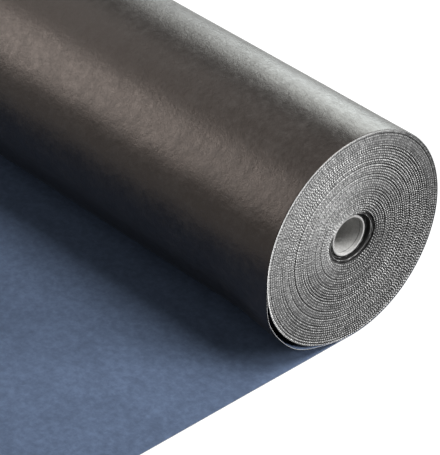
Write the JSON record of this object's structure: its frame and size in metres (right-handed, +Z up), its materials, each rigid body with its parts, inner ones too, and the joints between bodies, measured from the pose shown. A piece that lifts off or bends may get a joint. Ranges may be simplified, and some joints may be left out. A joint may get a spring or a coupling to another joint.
{
  "type": "roll of roofing underlayment",
  "caption": "Roll of dark fleece roofing underlayment wound on a board tube, lying on its side with its end unrolled flat in front of it.",
  "frame": {"origin": "on the floor, under the roll's axis, at the middle of the roll's width", "axes": "+X along the roll's axis towards the end with the loose turn, the unrolled end lies towards -Y, +Z up"},
  "size_m": [1, 0.6047, 0.2491],
  "materials": {
    "membrane_fleece": "dark charcoal spunbonded fleece, blue-grey on its inner face",
    "tube_board": "pale grey wound board"
  },
  "bodies": {
    "root": {"membrane": "membrane_fleece", "core_tube": "tube_board"}
  },
  "joints": []
}
